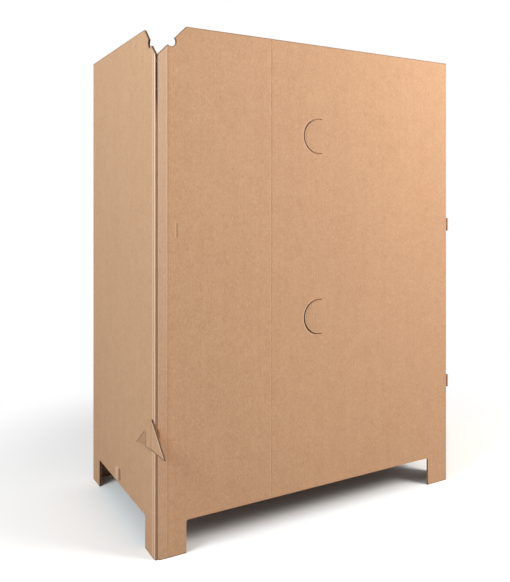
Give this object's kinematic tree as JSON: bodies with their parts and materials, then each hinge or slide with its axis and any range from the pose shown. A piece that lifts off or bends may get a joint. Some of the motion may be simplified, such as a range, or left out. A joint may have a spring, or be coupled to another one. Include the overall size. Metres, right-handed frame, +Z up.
{
  "type": "bulk pallet box",
  "caption": "Tall corrugated board box on four feet with fork openings, open top, folded corner posts, floor tray and tongue-locked corner",
  "frame": {"origin": "under the middle of the whole part, with the lock fin that reaches past the front, at the level the feet stand on", "axes": "+Z up, +X along the wide front wall to the right, +Y from the front wall to the back wall"},
  "size_m": [1.2106, 0.774, 1.62],
  "materials": {
    "wall_board": "matt kraft liner",
    "inner_board": "matt kraft liner"
  },
  "bodies": {
    "root": {"wall_sheet": "wall_board", "floor_tray": "inner_board", "cross_rib": "inner_board", "post_front_left": "inner_board", "post_front_right": "inner_board", "post_rear_left": "inner_board", "post_rear_right": "inner_board"}
  },
  "joints": []
}
